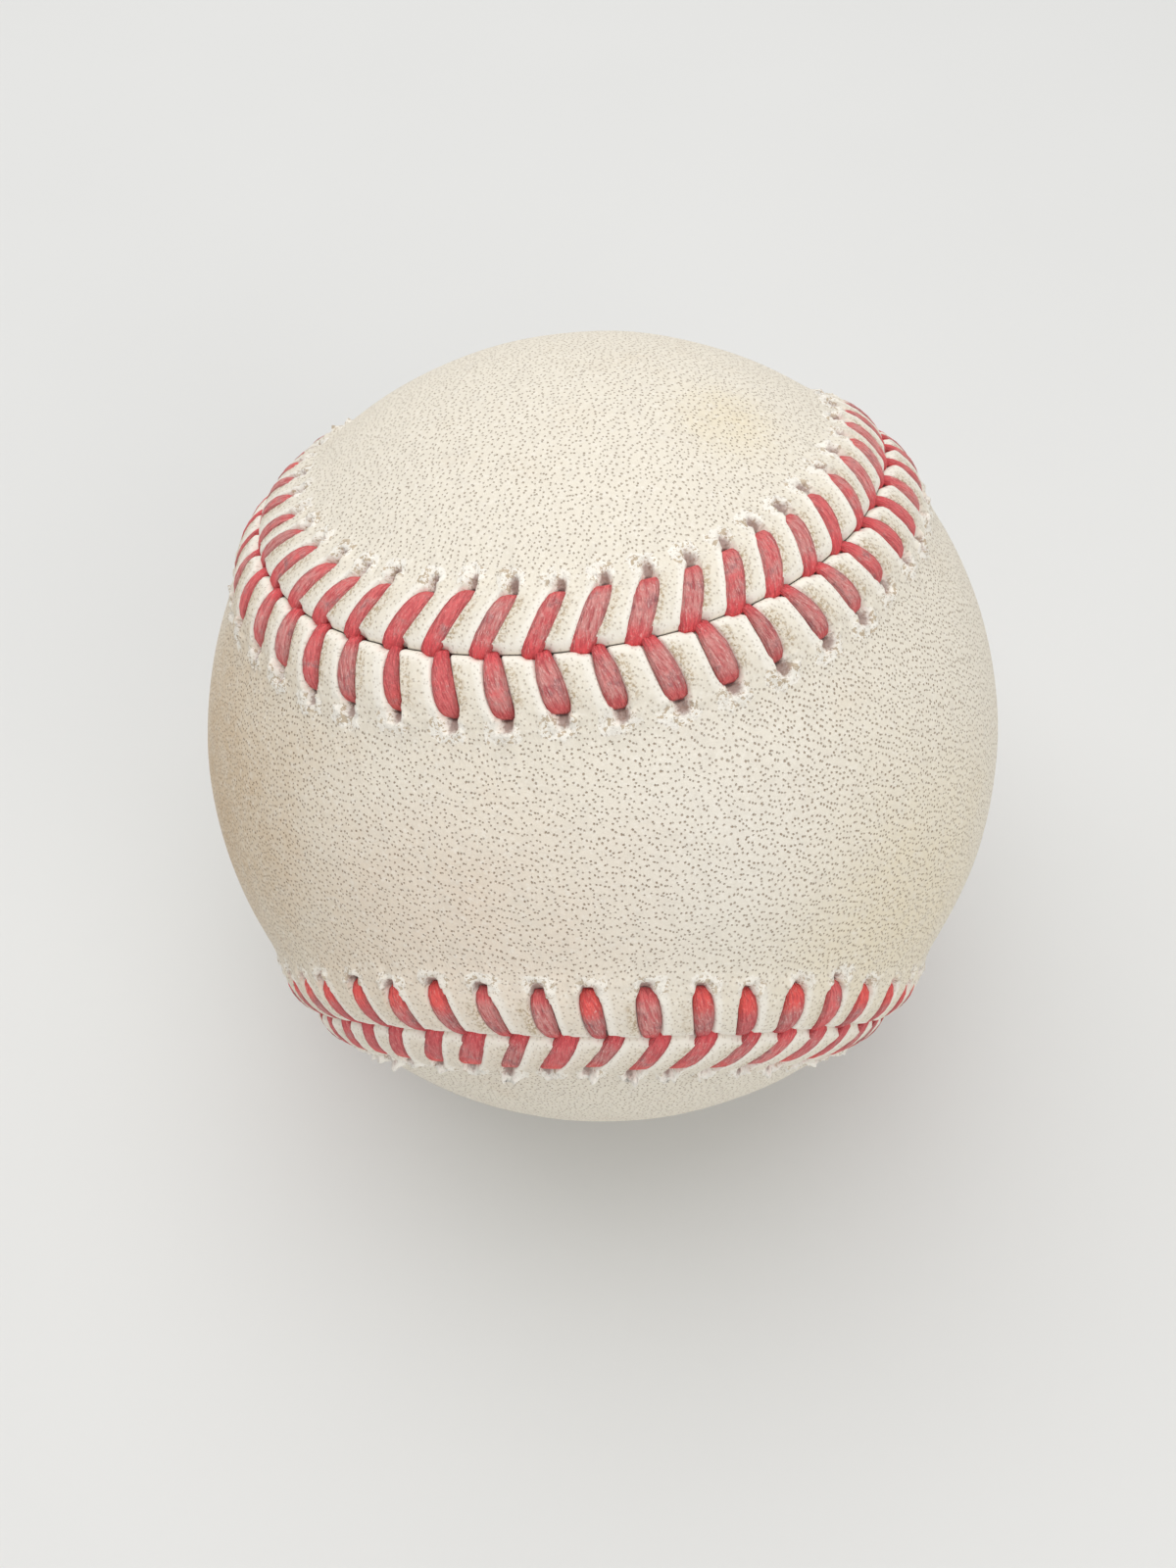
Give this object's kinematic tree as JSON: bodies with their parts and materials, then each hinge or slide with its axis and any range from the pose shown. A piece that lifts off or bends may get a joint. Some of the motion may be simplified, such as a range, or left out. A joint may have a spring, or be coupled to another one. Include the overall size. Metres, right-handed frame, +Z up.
{
  "type": "baseball",
  "caption": "Used leather ball for batting and throwing: interlocking figure-eight covers with raised red stitching over wound wool and a cork and rubber centre.",
  "frame": {"origin": "the middle of the ball", "axes": "+Z up as the ball lies in the picture, -Y towards the viewer; the waist of the front cover faces front and up"},
  "size_m": [0.0738, 0.0749, 0.0736],
  "materials": {
    "cork": "moulded cork and rubber crumb",
    "black_rubber": "matt moulded",
    "red_rubber": "matt moulded",
    "grey_wool": "wound wool yarn",
    "white_wool": "wound wool yarn",
    "cotton": "wound cotton yarn",
    "leather": "worn grain with open pores",
    "thread": "waxed cotton, rubbed on top"
  },
  "bodies": {
    "root": {"cork_core": "cork", "upper_black_rubber_cup": "black_rubber", "lower_black_rubber_cup": "black_rubber", "red_rubber_washer": "red_rubber", "upper_red_rubber_cup": "red_rubber", "lower_red_rubber_cup": "red_rubber", "first_grey_wool_winding": "grey_wool", "white_wool_winding": "white_wool", "second_grey_wool_winding": "grey_wool", "finishing_cotton_winding": "cotton", "front_leather_cover": "leather", "back_leather_cover": "leather", "stitching_thread": "thread"}
  },
  "joints": []
}
